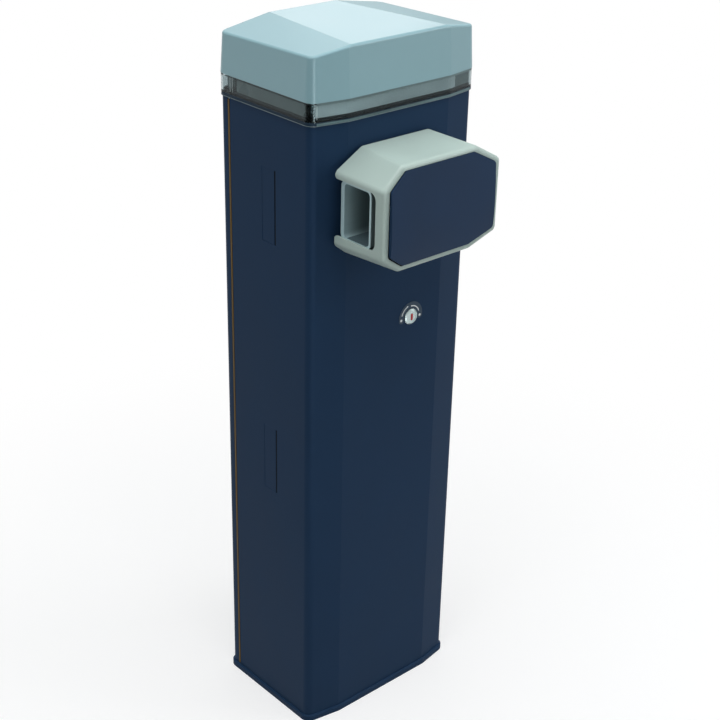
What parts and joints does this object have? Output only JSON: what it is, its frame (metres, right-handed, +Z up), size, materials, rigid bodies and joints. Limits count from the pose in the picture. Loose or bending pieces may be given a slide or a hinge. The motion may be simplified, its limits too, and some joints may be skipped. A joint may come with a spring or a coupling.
{
  "type": "boom barrier",
  "caption": "Tall faceted cabinet of an automatic road barrier, with a hinged boom head and socket on its front, a clear light band and a lid.",
  "frame": {"origin": "middle of the cabinet's base on the ground, which is the centre of its anchor holes", "axes": "+X to the right along the front, +Y to the back (the boom head is on -Y), +Z up"},
  "size_m": [0.3024, 0.3185, 1.075],
  "materials": {
    "navy_sheet": "fine-texture powder coat, satin",
    "base_paint": "powder coat, satin",
    "lid_plastic": "fine-grained moulded plastic",
    "head_plastic": "fine-grained moulded plastic",
    "face_plastic": "satin moulded plastic",
    "clear_plastic": "clear polycarbonate",
    "diffuser_plastic": "smoked translucent plastic",
    "socket_alloy": "extruded, satin anodised",
    "cast_alloy": "die cast",
    "zinc_steel": "zinc plated",
    "bright_steel": "ground steel",
    "lock_metal": "satin nickel",
    "label_grey": "printed film",
    "seal_rubber": "soft rubber",
    "black_rubber": "hard rubber",
    "motor_paint": "black paint",
    "spring_steel": "phosphated spring steel",
    "tray_plastic": "moulded plastic",
    "board_green": "circuit board",
    "terminal_green": "moulded plastic",
    "core_wrap": "wound and taped core",
    "strip_white": "lamp strip",
    "switch_plastic": "moulded plastic"
  },
  "bodies": {
    "cabinet": {"base_frame": "base_paint", "front_cover": "navy_sheet", "side_blanks": "navy_sheet", "left_upright": "zinc_steel", "right_upright": "zinc_steel", "foot_bolts": "bright_steel", "top_plate": "zinc_steel", "clear_band": "clear_plastic", "light_diffuser": "diffuser_plastic", "light_carrier": "tray_plastic", "light_strip": "strip_white", "lid": "lid_plastic", "lid_screws": "bright_steel", "hinge_brackets": "zinc_steel", "motor_plate": "zinc_steel", "plate_bolts": "bright_steel", "gear_housing": "cast_alloy", "front_bearing": "bright_steel", "rear_bearing": "bright_steel", "gear_cover": "cast_alloy", "cover_bolts": "bright_steel", "motor": "motor_paint", "motor_cap": "motor_paint", "shaft_seal": "black_rubber", "balance_spring": "spring_steel", "spring_anchor": "zinc_steel", "anchor_nuts": "bright_steel", "stop_buffers": "black_rubber", "stop_studs": "bright_steel", "switch_bracket": "zinc_steel", "limit_switches": "switch_plastic", "lock_housing": "lock_metal", "lock_nut": "bright_steel", "lock_label": "label_grey", "control_bracket": "zinc_steel", "control_tray": "tray_plastic", "control_board": "board_green", "terminal_blocks": "terminal_green", "transformer_shelf": "zinc_steel", "transformer": "core_wrap", "transformer_bolt": "bright_steel"},
    "boom_head": {"boom_shaft": "bright_steel", "carrier_plate": "zinc_steel", "boom_socket": "socket_alloy", "socket_bolts": "bright_steel", "head_shell": "head_plastic", "shell_screws": "bright_steel", "head_face": "face_plastic", "balance_lever": "zinc_steel", "lever_pin": "bright_steel", "limit_cams": "switch_plastic"},
    "balance_rod": {"tie_rod": "bright_steel", "spring_plug": "zinc_steel"},
    "release_lock": {"lock_plug": "lock_metal", "release_shaft": "bright_steel"},
    "rear_door": {"rear_door": "navy_sheet", "door_leaves": "zinc_steel", "door_seal": "seal_rubber", "door_screws": "bright_steel"}
  },
  "joints": [
    {"name": "boom_lift", "type": "hinge", "parent": "cabinet", "child": "boom_head", "pos_m": [0, 0, 0.863], "axis": [0, 1, 0], "range_deg": [0, 90], "deforming": ["balance_spring"]},
    {"name": "rod_pivot", "type": "hinge", "parent": "boom_head", "child": "balance_rod", "pos_m": [0.04384, 0.045, 0.90684], "axis": [0, 1, 0], "range_deg": [-90, 0]},
    {"name": "release_turn", "type": "hinge", "parent": "cabinet", "child": "release_lock", "pos_m": [0.035, -0.09, 0.658], "axis": [0, 1, 0], "range_deg": [0, 90]},
    {"name": "door_swing", "type": "hinge", "parent": "cabinet", "child": "rear_door", "pos_m": [0.1434, 0.0823, 0.49], "axis": [0, 0, -1], "range_deg": [0, 90]}
  ],
  "couplings": [
    {"joint": "rod_pivot", "follows": "boom_lift", "ratio": -1}
  ]
}
